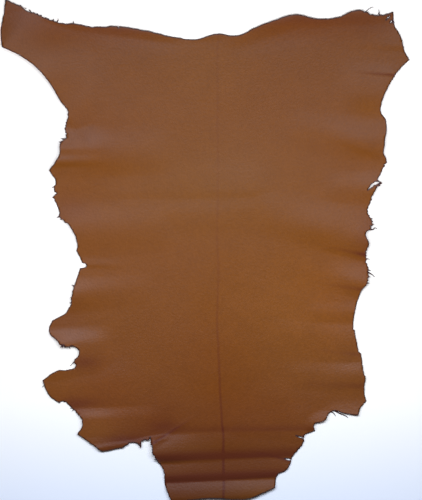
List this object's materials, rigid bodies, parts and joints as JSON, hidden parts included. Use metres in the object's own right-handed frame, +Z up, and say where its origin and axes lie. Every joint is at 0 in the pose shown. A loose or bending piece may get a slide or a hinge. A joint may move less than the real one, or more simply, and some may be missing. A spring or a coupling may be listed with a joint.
{
  "type": "leather hide",
  "caption": "Whole tanned small skin lying flat, grain side up: one thin leather sheet with hind shanks, neck, a fore shank, ragged trimmed edge and soft folds.",
  "frame": {"origin": "on the backbone line, half way along the skin's length, on the surface it lies on", "axes": "+Y along the backbone from the neck towards the hind shanks, +X to the right of the backbone as seen from above, +Z up out of the grain side"},
  "size_m": [0.8171, 1.0056, 0.0124],
  "materials": {
    "hide_leather": "smooth grain leather, drum-dyed chestnut brown, low sheen, paler suede on the flesh side"
  },
  "bodies": {
    "root": {"hide": "hide_leather"}
  },
  "joints": []
}
